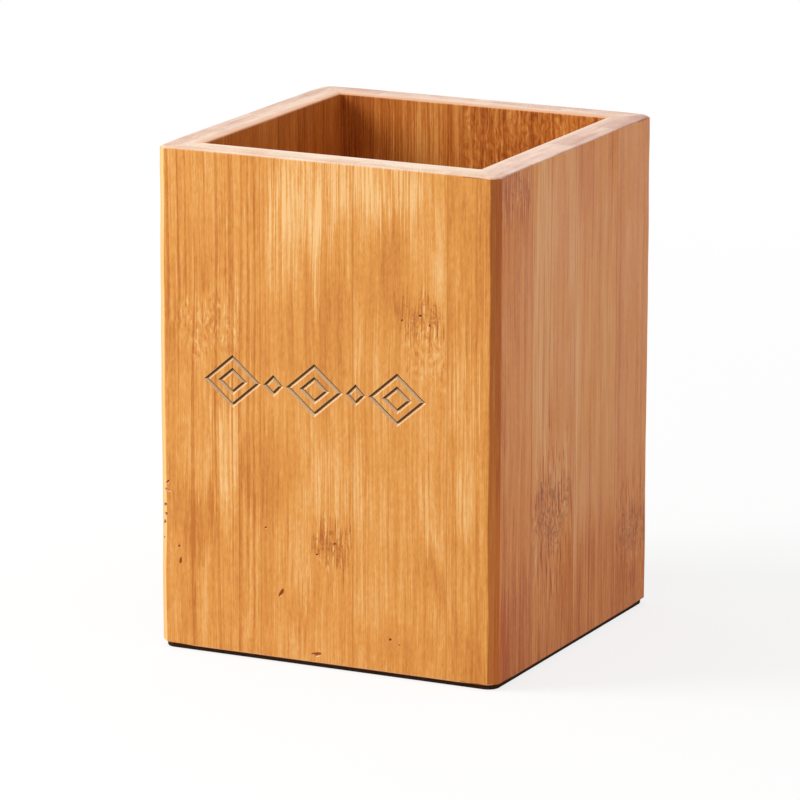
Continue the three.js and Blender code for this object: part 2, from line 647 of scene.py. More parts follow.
@dataclass(frozen=True)
class CutTint:
    """How a cut into the face looks: scorched or bored on its upper wall, fresh on its lower one. The
    split follows which way each wall faces, as painted shade on the upper wall, which faces down, and in
    the engraved band as a painted highlight on the lower one, which faces up.

    Each span says where something starts and where it is full: depths below the face, of grooves
    and of holes, and under a chamfer; the distance from the wall's end where the chamfer no longer
    counts; the depth where the inner face is clear of the tint; the distance from the engraved band
    where the band's colours give way to those of the holes; and how far the surface faces up.
    """

    scorched_and_shaded: Colour = srgb(92, 56, 20)
    bored_and_shaded: Colour = srgb(176, 88, 12)
    fresh_and_lit: Colour = srgb(250, 205, 140)
    groove_depth: Span = (0.02, 0.09)
    hole_depth: Span = (0.12, 0.3)
    chamfer_depth: Span = (0.24, 0.36)
    clear_of_end: Span = (2.5, 4.0)
    clear_of_inside: Span = (3.6, 2.6)
    clear_of_band: Span = (6.0, 8.0)
    turns: Span = (-0.25, 0.3)
    hole_turn: float = 0.45

    def mask(self, spot: Spot) -> Field:
        """Finds the cuts.

        Args:
            spot: Where the point lies.

        Returns:
            1 in a cut and 0 elsewhere.
        """
        graph = spot.graph
        groove = graph.smooth(spot.deep, self.groove_depth)
        hole = graph.smooth(spot.deep, self.hole_depth)
        hole = hole * graph.smooth(spot.under_chamfer, self.chamfer_depth)
        cut = graph.mix(graph.smooth(spot.from_end, self.clear_of_end), hole, groove)
        return cut * graph.smooth(spot.deep, self.clear_of_inside)

    def colour(self, spot: Spot, palette: Palette) -> Field:
        """Colours the cuts, darker on their walls that face down and lighter on those that face up, as
        painted light and shade.

        Args:
            spot: Where the point lies.
            palette: The slat's colours.

        Returns:
            The colour of the engraved band's grooves, or of the holes away from it.
        """
        graph = spot.graph
        away = graph.smooth(spot.from_band, self.clear_of_band)
        burnt_and_shaded = graph.mix(away, self.scorched_and_shaded, self.bored_and_shaded)
        inland = graph.smooth(spot.from_end, self.clear_of_end)
        fresh_and_lit = graph.mix(away, self.fresh_and_lit, graph.mix(inland, palette.knot, palette.deep))
        # Painted light and shade: walls that face down take the dark colour, and walls that face up take
        # the light one.
        lit_wall = graph.smooth(spot.facing[2] - away * self.hole_turn, self.turns)
        return graph.mix(lit_wall, burnt_and_shaded, fresh_and_lit)


@dataclass(frozen=True)
class GrainShares:
    """How strongly each part of the grain moves the tone, which runs from 0 to 1.

    Patch is a zone's even share, and patch_strand what the strands add to it. Joint is how dark a
    cane joint is, and joint_light how light the pale dashes round it are.
    """

    strand: float = 0.2
    hair: float = 0.5
    broad: float = 0.7
    fleck: float = 0.35
    flame: float = 0.56
    cord: float = 0.3
    dash: float = 0.12
    patch: float = 0.85
    patch_strand: float = 1.1
    joint: float = 0.2
    joint_light: float = 0.7


@dataclass(frozen=True)
class Sheen:
    """How rough the lacquer is, from glossy fibres to dull ones, and how the fibres stand out.

    Rubbed, end and cut are how much rougher it is where it is rubbed, sawn or cut.
    """

    fibre_step: Span = (-0.2, 0.25)
    rough: Span = (0.36, 0.5)
    rubbed: float = 0.3
    end: float = 0.08
    cut: float = 0.2
    strand_relief: float = 0.4
    hair_relief: float = 0.6
    skin: Skin = Skin(strength=0.35, depth=0.04, index=1.36)

    def face(self, grain: BambooGrain) -> Field:
        """Gives the roughness of the slat's faces."""
        rough = grain.graph.smooth(grain.fine, self.fibre_step, self.rough)
        return rough + grain.rubbed * self.rubbed

    def relief(self, grain: BambooGrain) -> Field:
        """Gives the height of the fibres."""
        return grain.strand * self.strand_relief + grain.hair * self.hair_relief


@dataclass(frozen=True)
class SlatFinish:
    """Lacquered bamboo of one slat.

    The first fields tell one slat from another. Those from shares on are the same on all of them,
    the fine line at each glued seam and the painted light and shade on the foot's downward edge among
    them.
    """

    palette: Palette
    seed: float
    tone: float = MIDDLE
    streaks: float = 1.0
    cords: float = 0.4
    dashes: float = 1.0
    ripples: float = 0.0
    flame: float = 1.0
    end_shade: float = 0.22
    curl_width: float = 0.075
    patches: tuple[Patch, ...] = ()
    cane_nodes: tuple[CaneNode, ...] = ()
    # Painted light and shade on a chamfered corner, where the slat has one.
    corner: PaintedCornerLight | None = None
    shares: GrainShares = GrainShares()
    end: EndGrain = EndGrain()
    cut: CutTint = CutTint()
    sheen: Sheen = Sheen()
    curl_core: float = 0.015
    seam_line: Span = (0.24, 0.05)
    seam_share: float = 0.55
    foot_light_turns: Span = (-0.1, -0.45)
    foot_light_share: float = 0.9

    def material(
        self, name: str, shape: "WallShape", side: Side, seams: Span, lie: Lie
    ) -> bpy.types.Material:
        """Builds the slat's material.

        Args:
            name: The material's name.
            shape: Sizes of the walls.
            side: The wall that the slat belongs to.
            seams: Where the slat starts and ends along its wall.
            lie: Which way its fibres run.

        Returns:
            The material.
        """
        made, graph = new_material(name)
        grain = BambooGrain(Spot.on(graph, shape, side, lie), self.seed)
        tone, knots = self._joints(grain, self._tone(grain))
        colour = graph.node("ShaderNodeValToRGB", {"stops": self.palette.stops()}, {0: tone})
        if self.cane_nodes:
            colour = graph.mix(knots, colour, self.palette.knot)
        for seam in seams:
            line = graph.smooth(abs(grain.spot.across - seam), self.seam_line)
            colour = graph.mix(line * self.seam_share, colour, self.palette.deep)
        rough = self.sheen.face(grain)
        if lie is Lie.UPRIGHT:
            colour, rough = self._edges(colour, rough, grain, tone)
        graph.surface(colour, rough, self.sheen.relief(grain), self.sheen.skin)
        return made

    def _tone(self, grain: BambooGrain) -> Field:
        """Works out how light the bamboo is between its joints.

        Args:
            grain: The slat's fibre pattern.

        Returns:
            The tone, from 0 at the deep end to 1 at the pale end.
        """
        shares = self.shares
        parts = (
            (grain.strand, shares.strand * self.streaks),
            (grain.hair, shares.hair * self.streaks),
            (grain.broad, shares.broad * self.streaks),
            (grain.fleck, shares.fleck),
            (grain.flame, shares.flame * self.flame),
            (grain.cord, -shares.cord * self.cords),
            (grain.dark_dash, -shares.dash * self.dashes),
            (grain.light_dash, shares.dash * self.dashes),
            (grain.ripple, self.ripples),
        )
        tone = self.tone
        for part, share in parts:
            tone = tone + part * share
        lively = shares.patch + grain.strand * shares.patch_strand
        for patch in self.patches:
            tone = tone + patch.tone * grain.zone(patch) * lively
        return tone

    def _joints(self, grain: BambooGrain, tone: Field) -> tuple[Field, Number]:
        """Adds the cane's joints.

        Args:
            grain: The slat's fibre pattern.
            tone: How light the bamboo is without them.

        Returns:
            The tone with them, and the share of their curled dark fibres.
        """
        graph, shares = grain.graph, self.shares
        dashes = grain.light_dash * shares.joint_light - grain.dark_dash
        knots = 0.0
        curls = graph.smooth(abs(grain.curl), (self.curl_width, self.curl_core))
        for cane in self.cane_nodes:
            core = grain.zone(cane)
            fan = grain.zone(cane, cane.fan_wide, cane.fan_tall)
            tone = tone + core * (grain.ripple * cane.ripples - shares.joint * cane.depth)
            tone = tone + fan * dashes * cane.depth
            knots = knots + core * curls * cane.depth
        return tone, knots

    def _edges(
        self, colour: Field, rough: Field, grain: BambooGrain, tone: Field
    ) -> tuple[Field, Field]:
        """Lays painted light and shade on the foot's downward edge and on a chamfered corner, then the
        sawn end and the cuts, over an upright slat.

        Args:
            colour: The colour of its faces.
            rough: Their roughness.
            grain: The slat's fibre pattern.
            tone: How light the bamboo is.

        Returns:
            The colour and the roughness.
        """
        graph, spot = grain.graph, grain.spot
        up = spot.facing[2]
        # Painted light and shade: the edge along the foot, which faces down, takes the palette's foot
        # colour, lighter on the front and darker on the right wall.
        worn = graph.smooth(up, self.foot_light_turns) * self.foot_light_share
        colour = graph.mix(worn, colour, self.palette.foot_light_and_shade)
        # Painted light and shade on a chamfered corner.
        if self.corner is not None:
            colour = self.corner.lay(colour, grain, self.palette)
        end = graph.smooth(up, self.end.turns)
        colour = graph.mix(end, colour, self.end.colour(grain, tone, self))
        colour = graph.mix(self.end.mitre(spot, end), colour, self.palette.end_dark)
        cut = self.cut.mask(spot) * (1 - end)
        colour = graph.mix(cut, colour, self.cut.colour(spot, self.palette))
        return colour, rough + end * self.sheen.end + cut * self.sheen.cut


@dataclass(frozen=True)
class FoamFinish:
    """Dark closed-cell foam with a fine open skin."""

    light: Colour = srgb(66, 44, 27)
    dark: Colour = srgb(28, 17, 10)
    cell: float = 0.32
    cell_step: Span = (0.05, 0.6)
    clouds: Pattern = Pattern((0.25, 0.25, 0.25), 2.0, octaves=3.0)
    cloud_share: float = 1.2
    scuffs: Pattern = Pattern((1.4, 0.12, 1.0), 5.0, octaves=2.0)
    scuff_step: Span = (0.12, 0.3)
    scuff_share: float = 0.3
    rough: float = 0.85
    cloud_rough: float = 0.2
    skin: Skin = Skin(strength=0.6, depth=0.1, index=1.22)

    def material(self, name: str) -> bpy.types.Material:
        """Builds the foam material.

        Args:
            name: The material's name.

        Returns:
            The material.
        """
        made, graph = new_material(name)
        place = graph.place()
        sized = {"Vector": place, "Scale": 1 / self.cell}
        cells = graph.node("ShaderNodeTexVoronoi", None, sized, "Distance")
        clouds = graph.noise(place, self.clouds)
        scuffs = graph.smooth(graph.noise(place, self.scuffs), self.scuff_step)
        shade = graph.smooth(cells, self.cell_step) + clouds * self.cloud_share
        colour = graph.mix(shade + scuffs * self.scuff_share, self.dark, self.light)
        graph.surface(colour, self.rough + clouds * self.cloud_rough, cells, self.skin)
        return made


# Meshes

WELD = 0.0005
ROUND_ANGLE = 32.0
FLAT_WEIGHT = 80


def add_object(name: str, data: bpy.types.ID) -> bpy.types.Object:
    """Puts a mesh, a lamp or a camera in the scene.

    Args:
        name: The object's name.
        data: What it shows.

    Returns:
        The object, at the origin.
    """
    made = bpy.data.objects.new(name, data)
    bpy.context.scene.collection.objects.link(made)
    return made


def add_form(name: str, form: bmesh.types.BMesh) -> bpy.types.Object:
    """Turns a form into a mesh object and frees it.

    Args:
        name: The object's name.
        form: The form, in metres.

    Returns:
        The object, at the origin.
    """
    data = bpy.data.meshes.new(name)
    form.to_mesh(data)
    form.free()
    return add_object(name, data)


def mesh_object(
    name: str, points: Iterable[Point], faces: Iterable[Sequence[int]]
) -> bpy.types.Object:
    """Makes a mesh object from points and faces.

    Args:
        name: The object's name.
        points: Its corners, in millimetres.
        faces: Its faces, as indices of the corners.

    Returns:
        The object, at the origin.
    """
    form = bmesh.new()
    corners = [form.verts.new(Vector(point) * MM) for point in points]
    for face in faces:
        form.faces.new([corners[index] for index in face])
    bmesh.ops.remove_doubles(form, verts=form.verts[:], dist=WELD * MM)
    bmesh.ops.recalc_face_normals(form, faces=form.faces[:])
    return add_form(name, form)


def joined(low: Sequence[int], high: Sequence[int]) -> list[tuple[int, ...]]:
    """Joins two closed rings of points by a band of faces.

    Args:
        low: The indices of the first ring.
        high: The indices of the second ring, as many.

    Returns:
        Four corners for each face.
    """
    many = len(low)
    nexts = [(i + 1) % many for i in range(many)]
    return [(low[i], low[n], high[n], high[i]) for i, n in enumerate(nexts)]


def cut_away(piece: bpy.types.Object, cutter: bpy.types.Object) -> None:
    """Cuts one mesh out of another and keeps the result as the piece's own mesh.

    Args:
        piece: The piece that is cut.
        cutter: The closed mesh that is taken away.
    """
    cut = piece.modifiers.new("cut", "BOOLEAN")
    cut.operation = "DIFFERENCE"
    cut.solver = "EXACT"
    cut.object = cutter
    bpy.context.view_layer.update()
    seen = piece.evaluated_get(bpy.context.evaluated_depsgraph_get())
    before, after = piece.data, bpy.data.meshes.new_from_object(seen)
    piece.modifiers.clear()
    piece.data = after
    bpy.data.meshes.remove(before)


def boxes_meet(piece: bpy.types.Object, other: bpy.types.Object) -> bool:
    """Says whether the boxes of two objects overlap.

    Args:
        piece: One object.
        other: The other one.

    Returns:
        True if they overlap along all three axes.
    """
    spans = []
    for thing in (piece, other):
        corners = [thing.matrix_world @ Vector(corner) for corner in thing.bound_box]
        spans.append([(min(c[i] for c in corners), max(c[i] for c in corners)) for i in range(3)])
    return all(one[0] < two[1] and two[0] < one[1] for one, two in zip(*spans))


def soften(piece: bpy.types.Object, sharp_angle: float = ROUND_ANGLE) -> None:
    """Smooths a piece's rounded stretches and keeps its flat faces flat.

    Args:
        piece: The piece.
        sharp_angle: The angle in degrees from which an edge stays sharp.
    """
    for face in piece.data.polygons:
        face.use_smooth = True
    piece.data.set_sharp_from_angle(angle=math.radians(sharp_angle))
    weighted = piece.modifiers.new("flat_faces", "WEIGHTED_NORMAL")
    weighted.keep_sharp = True
    weighted.weight = FLAT_WEIGHT


def mount(piece: bpy.types.Object, look: bpy.types.Material, node: str) -> None:
    """Dresses a piece and lets it stand for its solid and ride on the holder.

    Args:
        piece: The piece.
        look: Its material.
        node: The solid that it replaces.
    """
    piece.data.materials.clear()
    piece.data.materials.append(look)
    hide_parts(node)
    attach(piece, "root")
    LOG.info("%s: %d faces", piece.name, len(piece.data.polygons))


# The walls


@dataclass(frozen=True)
class WallShape:
    """Sizes that the four walls share.

    The outer corners are cut and softened, less so where the rim's rounding cuts in. The outer edges
    and the rim are rounded, and more worn at the corners. Wobble is how uneven the sanding is, as a
    share, and wobble_waves its waves per millimetre, sampled at corner_spot for the chamfers. The
    gaps are those between the rows and the columns of a slat's mesh. Mitre_width is how far from
    the box's inner corner the straight columns start, and mitre_shares where the columns of the
    softened edge meet the inside in between.
    """

    half: float
    inner_half: float
    underside: float
    top: float
    corner_cut: float = 1.8
    corner_soft: float = 0.5
    least_soft: float = 0.06
    soft_loss: float = 0.5
    outer_round: float = 0.4
    rim_round: float = 0.4
    corner_wear: float = 2.0
    round_steps: int = 6
    row_gap: float = 4.0
    column_gap: float = 3.2
    wobble: float = 0.14
    wobble_waves: float = 0.11
    mitre_width: float = 0.6
    mitre_shares: Span = (0.12, 0.22)
    corner_spot: Span = (3.0, 5.0)

    @classmethod
    def from_solids(cls) -> "WallShape":
        """Reads the sizes from the solids of the front wall."""
        low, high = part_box(Side.FRONT.slat_node(2))
        return cls(-low.y / MM, -high.y / MM, low.z / MM, high.z / MM)

    def uneven(self, x: float, y: float, z: float) -> float:
        """Gives how much the hand-sanded edges are rounder or sharper at a place."""
        return 1 + self.wobble * noise.noise(Vector((x, y, z)) * self.wobble_waves)

    @property
    def straight_start(self) -> float:
        """Where a mitred end gives way to straight columns, at the left of the wall."""
        return -self.inner_half + self.mitre_width


@dataclass(frozen=True)
class Row:
    """One level of a wall's section: how far in from the face it lies, and how high."""

    outer: bool
    inset: float
    height: float


class End(Enum):
    """Which part of a slat a column belongs to."""

    LEFT = "the mitred left end"
    STRAIGHT = "the straight stretch"
    RIGHT = "the mitred right end"


@dataclass(frozen=True)
class Column:
    """One upright line of a slat's mesh.

    Place is its place along the wall, or its share of the way across a mitred end on the inside.
    Turn is None on the mitre itself and on a straight column, and otherwise how far the softened
    edge still turns, in radians.
    """

    place: float
    turn: float | None
    end: End


@dataclass(frozen=True)
class Slat:
    """One upright slat of a wall.

    Left and right are where its seams lie, along the wall. An end without one is mitred at a corner
    of the box, and its seam line is put clear of the wall, where it doesn't show.
    """

    side: Side
    number: int
    shape: WallShape
    left: float | None
    right: float | None
    clear: float = 1.0

    @property
    def node(self) -> str:
        """The name of the slat's solid."""
        return self.side.slat_node(self.number)

    @property
    def seams(self) -> Span:
        """Where the slat starts and ends.

        Returns:
            Both places from the wall's left end, clear of the wall where the slat is mitred.
        """
        half = self.shape.half
        start = -self.clear if self.left is None else self.left + half
        end = 2 * half + self.clear if self.right is None else self.right + half
        return (start, end)

    def bend(self, outer: bool, radius: float, up: int) -> list[Row]:
        """Rounds one edge of the section, from its side to its level face.

        Args:
            outer: True on the outside of the wall.
            radius: The rounding's radius.
            up: 1 at the underside and -1 at the rim, the way in from the edge.

        Returns:
            The levels of the rounding.
        """
        steps = self.shape.round_steps
        edge = self.shape.underside if up > 0 else self.shape.top
        turns = [math.pi / 2 * i / steps for i in range(steps + 1)]
        return [
            Row(outer, radius * (1 - math.cos(turn)), edge + up * radius * (1 - math.sin(turn)))
            for turn in turns
        ]

    def rows(self) -> list[Row]:
        """Lists the section's levels, from the underside up the outside and down the inside.

        Returns:
            The levels, in order round the section.
        """
        shape = self.shape
        start, end = shape.underside + shape.outer_round, shape.top - shape.outer_round
        count = max(1, round((end - start) / shape.row_gap))
        rows = self.bend(True, shape.outer_round, 1)[::-1]
        rows += [Row(True, 0.0, start + (end - start) * i / count) for i in range(1, count)]
        rows += self.bend(True, shape.outer_round, -1)
        rows += self.bend(False, shape.rim_round, -1)[::-1]
        rows.append(Row(False, 0.0, shape.underside))
        return rows

    def columns(self) -> list[Column]:
        """Lists the slat's columns from left to right.

        Returns:
            The columns.
        """
        shape = self.shape
        steps = shape.round_steps
        first, last = shape.mitre_shares
        bend: list[tuple[float, float | None]] = [(0.0, None)]
        for i in range(steps + 1):
            bend.append((first + (last - first) * i / steps, math.pi / 4 * (1 - i / steps)))
        start = shape.straight_start if self.left is None else self.left
        stop = -shape.straight_start if self.right is None else self.right
        count = max(1, round((stop - start) / shape.column_gap))
        places = [start + (stop - start) * i / count for i in range(count + 1)]
        made = [Column(*step, End.LEFT) for step in bend] if self.left is None else []
        made += [Column(place, None, End.STRAIGHT) for place in places]
        if self.right is None:
            made += [Column(*step, End.RIGHT) for step in reversed(bend)]
        return made

    def worn(self, row: Row, column: Column) -> Row:
        """Varies the rounding of the top and bottom edges a little along the wall.

        Args:
            row: A level of the section.
            column: The column that it crosses.

        Returns:
            The level there, more rounded at a corner of the box.
        """
        shape = self.shape
        if not row.inset:
            return row
        place, rounder = column.place, 1.0
        if column.end is not End.STRAIGHT:
            place = -shape.half if column.end is End.LEFT else shape.half
            rounder = shape.corner_wear if row.outer else 1.0
        x, y = self.side.turned(place, -shape.half)
        top = row.height > (shape.top + shape.underside) / 2
        level = shape.top if top else shape.underside
        factor = shape.uneven(x, y, level) * rounder
        return Row(row.outer, row.inset * factor, level + (row.height - level) * factor)

    def corner_point(self, row: Row, column: Column) -> Span:
        """Places a point on the outside of a mitred end, as at the left of the front wall.

        Args:
            row: The level of the section.
            column: The column.

        Returns:
            The point in the plan. Both slats of a corner of the box have the same chamfer.
        """
        shape = self.shape
        corner = (self.side.value + (column.end is End.RIGHT)) % len(Side)
        x_spot, y_spot = shape.corner_spot
        cut = shape.corner_cut * shape.uneven(x_spot, y_spot + corner, row.height)
        root = math.sqrt(2)
        if column.turn is None:
            x = -shape.half + cut / 2 + row.inset / root
            return (x, x)
        radius = max(shape.corner_soft - shape.soft_loss * row.inset, shape.least_soft)
        lead = radius * math.tan(math.pi / 8)
        vertex = -shape.half + cut + row.inset * (root - 1)
        x = vertex + lead - radius * math.sin(column.turn)
        return (x, -shape.half + row.inset + radius * (1 - math.cos(column.turn)))

    def point(self, row: Row, column: Column) -> Point:
        """Places one point of the slat on the front wall.

        Args:
            row: The level of the section.
            column: The column.

        Returns:
            The point.
        """
        shape = self.shape
        inside = -shape.inner_half - row.inset
        if column.end is End.STRAIGHT:
            return (column.place, -shape.half + row.inset if row.outer else inside, row.height)
        if row.outer:
            x, y = self.corner_point(row, column)
        else:
            x, y = inside + column.place * (shape.straight_start - inside), inside
        return (x if column.end is End.LEFT else -x, y, row.height)

    def build(self) -> bpy.types.Object:
        """Builds the slat's closed mesh.

        Returns:
            The slat, in its place in the box.
        """
        rows, columns = self.rows(), self.columns()
        points: list[Point] = []
        for column in columns:
            for row in rows:
                x, y, z = self.point(self.worn(row, column), column)
                points.append((*self.side.turned(x, y), z))
        many = len(rows)
        rings = [range(c * many, (c + 1) * many) for c in range(len(columns))]
        faces = [(a, d, c, b) for one, two in zip(rings, rings[1:]) for a, b, c, d in joined(one, two)]
        faces += [tuple(rings[0]), tuple(rings[-1])]
        return mesh_object(self.node + "_wood", points, faces)


@dataclass(frozen=True)
class LozengeBand:
    """A band of engraved lozenges across the front wall, large double ones and small ones.

    Middle is along the wall and height above its underside. Step_in is from a large lozenge's
    outline to the one inside it. The cutter stands above the face by the given height, and its
    inner edge stops at a share of the lozenge, short of its middle.
    """

    shape: WallShape
    middle: float = -2.55
    height: float = 59.7
    pitch: float = 19.4
    large: Span = (12.2, 10.4)
    small: Span = (3.6, 3.6)
    step_in: float = 2.1
    groove_width: float = 0.9
    groove_depth: float = 0.45
    flat_bottom: float = 0.1
    above: float = 0.5
    inner_stop: float = 0.96

    @staticmethod
    def inradius(width: float, height: float) -> float:
        """Gives the distance from a lozenge's middle to its sides."""
        return width * height / 2 / math.hypot(width, height)

    def ring(self, x: float, width: float, height: float) -> tuple[list[Point], list[tuple[int, ...]]]:
        """Shapes the V-shaped ring that cuts one lozenge's outline.

        Args:
            x: The lozenge's middle along the wall.
            width: Its width.
            height: Its height.

        Returns:
            Points and faces of the ring.
        """
        inradius = self.inradius(width, height)
        reach = self.groove_width / 2 * (1 + self.above / self.groove_depth)
        section = (
            (-self.flat_bottom / 2, self.groove_depth),
            (self.flat_bottom / 2, self.groove_depth),
            (reach, -self.above),
            (max(-reach, -self.inner_stop * inradius), -self.above),
        )
        corners = ((width / 2, 0.0), (0.0, height / 2), (-width / 2, 0.0), (0.0, -height / 2))
        middle = self.shape.underside + self.height
        points: list[Point] = []
        for along, up in corners:
            for offset, deep in section:
                share = 1 + offset / inradius
                points.append((x + along * share, -self.shape.half + deep, middle + up * share))
        many = len(section)
        rings = [range(c * many, (c + 1) * many) for c in range(len(corners))]
        pairs = zip(rings, rings[1:] + rings[:1])
        return points, [face for one, two in pairs for face in joined(one, two)]

    def cutter(self) -> bpy.types.Object:
        """Builds every ring of the band as one cutter.

        Returns:
            The cutter.
        """
        share = 1 - self.step_in / self.inradius(*self.large)
        inner = (self.large[0] * share, self.large[1] * share)
        points: list[Point] = []
        faces: list[tuple[int, ...]] = []
        for i in (-1, 0, 1):
            x = self.middle + i * self.pitch
            rings = [(x, self.large), (x, inner)]
            if i < 1:
                rings.append((x + self.pitch / 2, self.small))
            for place, size in rings:
                more, sides = self.ring(place, *size)
                faces += [tuple(index + len(points) for index in side) for side in sides]
                points += more
        return mesh_object("band_cutter", points, faces)


@dataclass(frozen=True)
class Pit:
    """A small hole or nick in a wall's face, given from its left end and below the rim.

    Lean is in degrees, from upright.
    """

    across: float
    below: float
    wide: float
    tall: float
    deep: float
    lean: float = 0.0


@dataclass(frozen=True)
class Pits:
    """The pits and nicks of the front wall, each a rough pebble's print."""

    shape: WallShape
    pits: tuple[Pit, ...]
    roundness: int = 2
    bumps: float = 1.7
    apart: float = 3.1
    rough: float = 0.45

    def cutter(self) -> bpy.types.Object:
        """Builds the pebbles that cut the pits out.

        Returns:
            All of them, as one cutter.
        """
        form = bmesh.new()
        for number, pit in enumerate(self.pits):
            spot = Vector((pit.across - self.shape.half, -self.shape.half, self.shape.top - pit.below))
            lean = Matrix.Rotation(math.radians(pit.lean), 4, "Y")
            size = Matrix.Diagonal((pit.wide / 2 * MM, pit.deep * MM, pit.tall / 2 * MM, 1.0))
            laid = Matrix.Translation(spot * MM) @ lean @ size
            start = Vector((number * self.apart, 0.0, 0.0))
            pebble = bmesh.ops.create_icosphere(form, subdivisions=self.roundness, radius=1.0)
            for corner in pebble["verts"]:
                bump = noise.noise(corner.co * self.bumps + start)
                corner.co = laid @ (corner.co * (1 + self.rough * bump))
        return add_form("pit_cutter", form)


@dataclass(frozen=True)
class Wall:
    """One wall of the box: slats glued edge to edge, with what is cut into them."""

    side: Side
    shape: WallShape
    finishes: tuple[SlatFinish, ...]
    cutters: tuple[bpy.types.Object, ...] = ()

    def slats(self) -> list[Slat]:
        """Reads where the slats lie from their solids.

        Returns:
            The slats, from left to right.
        """
        spans = []
        for number in range(1, len(self.finishes) + 1):
            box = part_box(self.side.slat_node(number))
            spans.append(sorted(self.side.unturned(end.x / MM, end.y / MM)[0] for end in box))
        seams = [(one[1] + two[0]) / 2 for one, two in zip(spans, spans[1:])]
        ends = [None, *seams, None]
        pairs = enumerate(zip(ends, ends[1:]), 1)
        return [Slat(self.side, number, self.shape, *pair) for number, pair in pairs]

    def build(self) -> None:
        """Builds, cuts and dresses every slat."""
        for slat, finish in zip(self.slats(), self.finishes):
            piece = slat.build()
            for cutter in self.cutters:
                if boxes_meet(piece, cutter):
                    cut_away(piece, cutter)
            soften(piece)
            name = f"bamboo_{slat.node}"
            look = finish.material(name, self.shape, self.side, slat.seams, Lie.UPRIGHT)
            mount(piece, look, slat.node)


# The foot


@dataclass(frozen=True)
class BaseBoard:
    """The slats of the base board, which lie between the walls.

    Their edges are eased, and each slat reaches a little over the glue line.
    """

    shape: WallShape
    finishes: tuple[SlatFinish, ...]
    ease: float = 0.2
    ease_steps: int = 3
    reach: float = 0.04

    def build(self) -> None:
        """Builds and dresses the board's slats."""
        for number, finish in enumerate(self.finishes, 1):
            node = f"base_board_slat_{number}"
            low, high = (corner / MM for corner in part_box(node))
            piece = self.slat(node, low, high)
            soften(piece)
            seams = (low.x + self.shape.half, high.x + self.shape.half)
            look = finish.material(f"bamboo_{node}", self.shape, Side.FRONT, seams, Lie.FLAT)
            mount(piece, look, node)

    def slat(self, node: str, low: Vector, high: Vector) -> bpy.types.Object:
        """Shapes one slat with eased edges.

        Args:
            node: The name of its solid.
            low: The solid's lowest corner.
            high: The solid's highest corner.

        Returns:
            The slat.
        """
        wide = (low.x - self.reach, high.x + self.reach)
        corners = [(x, y, z) for x in wide for y in (low.y, high.y) for z in (low.z, high.z)]
        sides = ((0, 1, 3, 2), (4, 6, 7, 5), (0, 4, 5, 1), (2, 3, 7, 6), (0, 2, 6, 4), (1, 5, 7, 3))
        piece = mesh_object(node + "_wood", corners, sides)
        form = bmesh.new()
        form.from_mesh(piece.data)
        eased = {"offset": self.ease * MM, "segments": self.ease_steps, "affect": "EDGES"}
        bmesh.ops.bevel(form, geom=form.edges[:], **eased)
        form.to_mesh(piece.data)
        form.free()
        return piece


@dataclass(frozen=True)
class FootPad:
    """The thin foam sheet that the box stands on, a little smaller than the box.

    Its sides bulge by a hair between its upper and lower edges.
    """

    finish: FoamFinish = FoamFinish()
    corner_radius: float = 2.6
    bulge: float = 0.12
    levels: int = 6
    arc_steps: int = 10
    sharp_angle: float = 50.0

    def outline(self, low: Vector, high: Vector, inset: float) -> list[Span]:
        """Lists the rounded outline at one level.

        Args:
            low: The pad's lowest corner.
            high: The pad's highest corner.
            inset: How far inside its box the outline lies.

        Returns:
            Points in the plan, anticlockwise.
        """
        radius = self.corner_radius
        reach = radius - inset
        points = []
        corners = ((high.x, low.y, -1), (high.x, high.y, 0), (low.x, high.y, 1), (low.x, low.y, 2))
        for x, y, quarter in corners:
            middle_x = x + (-radius if x == high.x else radius)
            middle_y = y + (-radius if y == high.y else radius)
            for i in range(self.arc_steps + 1):
                turn = math.pi / 2 * (quarter + i / self.arc_steps)
                points.append((middle_x + reach * math.cos(turn), middle_y + reach * math.sin(turn)))
        return points

    def build(self) -> None:
        """Builds and dresses the pad."""
        low, high = (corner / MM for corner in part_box("foot_pad"))
        points: list[Point] = []
        rings = []
        for level in range(self.levels + 1):
            share = level / self.levels
            ring = self.outline(low, high, self.bulge * (2 * share - 1) ** 2)
            height = low.z + (high.z - low.z) * share
            rings.append(range(len(points), len(points) + len(ring)))
            points += [(x, y, height) for x, y in ring]
        faces = [face for one, two in zip(rings, rings[1:]) for face in joined(one, two)]
        faces += [tuple(rings[0]), tuple(rings[-1])]
        piece = mesh_object("foot_pad_foam", points, faces)
        soften(piece, self.sharp_angle)
        mount(piece, self.finish.material("foot_foam"), "foot_pad")


# Studio


def direction(azimuth: float, elevation: float) -> Vector:
    """Gives the way from the holder towards a lamp or the camera.

    Args:
        azimuth: Degrees round the holder, 0 in front and 90 on the right.
        elevation: Degrees above the floor.

    Returns:
        The direction, one long.
    """
    turn, tilt = math.radians(azimuth), math.radians(elevation)
    level = math.cos(tilt)
    return Vector((math.sin(turn) * level, -math.cos(turn) * level, math.sin(tilt)))


@dataclass(frozen=True)
class Lamp:
    """A soft square lamp, aimed at the middle of the holder. Its lengths are in metres."""

    name: str
    azimuth: float
    elevation: float
    distance: float
    size: float
    power: float
    aim: Point = (0.0, 0.0, 0.06)

    def build(self) -> None:
        """Hangs the lamp."""
        data = bpy.data.lights.new(self.name, "AREA")
        data.shape = "SQUARE"
        data.size = self.size
        data.energy = self.power
        away = direction(self.azimuth, self.elevation)
        lamp = add_object(self.name, data)
        lamp.location = Vector(self.aim) + away * self.distance
        lamp.rotation_euler = away.to_track_quat("Z", "Y").to_euler()


